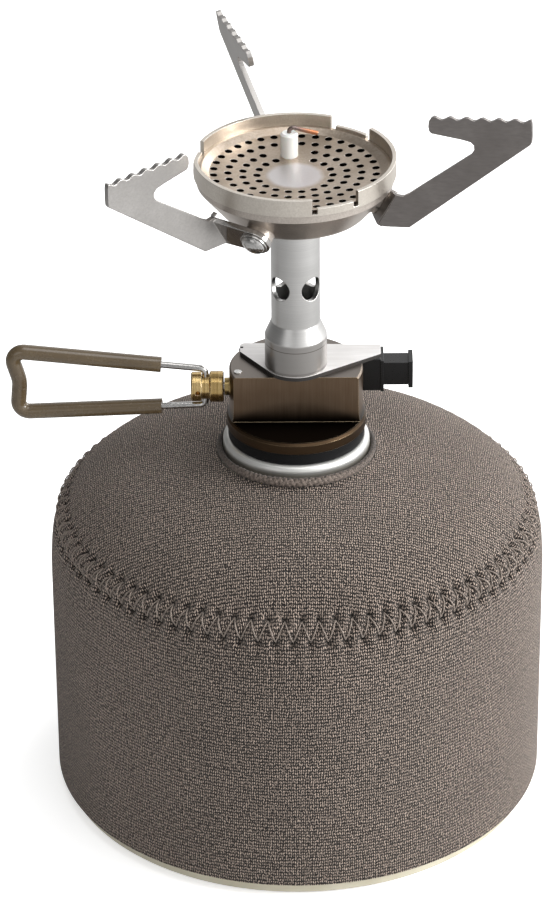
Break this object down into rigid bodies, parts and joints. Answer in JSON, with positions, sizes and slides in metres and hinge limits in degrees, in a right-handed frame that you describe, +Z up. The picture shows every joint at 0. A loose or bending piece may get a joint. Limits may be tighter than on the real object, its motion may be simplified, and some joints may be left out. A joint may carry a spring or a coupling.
{
  "type": "portable gas stove",
  "caption": "Screw-on gas burner with folding serrated pot supports, piezo igniter and wire-handled valve on a canister in a knit sleeve",
  "frame": {"origin": "centre of the canister's foot ring, in the plane of the table", "axes": "+Z up along the canister and burner axis, +X towards the igniter's button, -Y towards the milled front flat of the valve block"},
  "size_m": [0.1216, 0.1128, 0.1707],
  "materials": {
    "can_cream": "satin",
    "lip_aluminium": "polished",
    "brass": "turned",
    "rubber": "matte",
    "steel": "polished",
    "inner_plastic": "matte",
    "knit": "soft",
    "thread": "soft",
    "bronze": "dark bronze anodised",
    "satin_plate": "satin",
    "column_aluminium": "satin",
    "champagne": "satin, warm",
    "ceramic_white": "glazed",
    "electrode": "heat tinted",
    "black_plastic": "satin",
    "knob_brass": "anodised",
    "olive_grip": "glossy",
    "support_light": "satin",
    "support_dark": "satin"
  },
  "bodies": {
    "canister": {"can_base": "can_cream", "can_body": "can_cream", "valve_cup": "lip_aluminium", "thread_boss": "brass", "valve_gasket": "rubber", "valve_stem": "steel", "valve_housing": "inner_plastic", "sleeve_side": "knit", "sleeve_top": "knit", "neck_binding": "thread", "seam_thread": "thread"},
    "burner": {"seat_ring": "rubber", "thread_socket": "brass", "probe_pin": "steel", "probe_oring": "rubber", "valve_block": "bronze", "block_pin": "steel", "gland_nut": "brass", "spindle_oring": "rubber", "jet": "brass", "jet_filter": "steel", "bracket_plate": "satin_plate", "mixing_tube": "column_aluminium", "burner_bowl": "champagne", "rim_wall": "champagne", "flame_plate": "champagne", "insulator": "ceramic_white", "electrode_wire": "electrode", "ignition_lead": "electrode", "igniter_housing": "black_plastic", "piezo_unit": "inner_plastic", "rivet_left": "steel", "rivet_right": "steel", "rivet_back": "steel", "washer_left": "steel", "washer_right": "steel", "washer_back": "steel"},
    "igniter_button": {"igniter_button": "black_plastic", "piezo_plunger": "steel"},
    "valve_control": {"valve_knob": "knob_brass", "needle_spindle": "steel"},
    "handle": {"handle_wire": "steel", "handle_grip": "olive_grip"},
    "arm_left": {"arm_left": "support_light"},
    "arm_right": {"arm_right": "support_dark"},
    "arm_back": {"arm_back": "support_light"}
  },
  "joints": [
    {"name": "burner_lift", "type": "slide", "parent": "canister", "child": "burner", "axis": [0, 0, 1], "range_m": [0, 0.05]},
    {"name": "button_press", "type": "slide", "parent": "burner", "child": "igniter_button", "axis": [-1, 0, 0], "range_m": [0, 0.005], "stiffness_N_per_m": 1500},
    {"name": "valve_turn", "type": "hinge", "parent": "burner", "child": "valve_control", "pos_m": [-0.018, 0, 0.1003], "axis": [-1, 0, 0], "range_deg": [0, 720]},
    {"name": "handle_fold", "type": "hinge", "parent": "valve_control", "child": "handle", "pos_m": [-0.02035, 0, 0.1003], "axis": [0, 0, 1], "range_deg": [-86.4, 93.6]},
    {"name": "arm_left_fold", "type": "hinge", "parent": "burner", "child": "arm_left", "pos_m": [-0.00852, -0.01721, 0.14577], "axis": [-0.433, -0.75, -0.5], "range_deg": [-150, 0]},
    {"name": "arm_right_fold", "type": "hinge", "parent": "burner", "child": "arm_right", "pos_m": [0.01916, 0.00123, 0.14577], "axis": [0.866, 0, -0.5], "range_deg": [-138, 12]},
    {"name": "arm_back_fold", "type": "hinge", "parent": "burner", "child": "arm_back", "pos_m": [-0.01064, 0.01598, 0.14577], "axis": [-0.433, 0.75, -0.5], "range_deg": [-138, 12]}
  ]
}
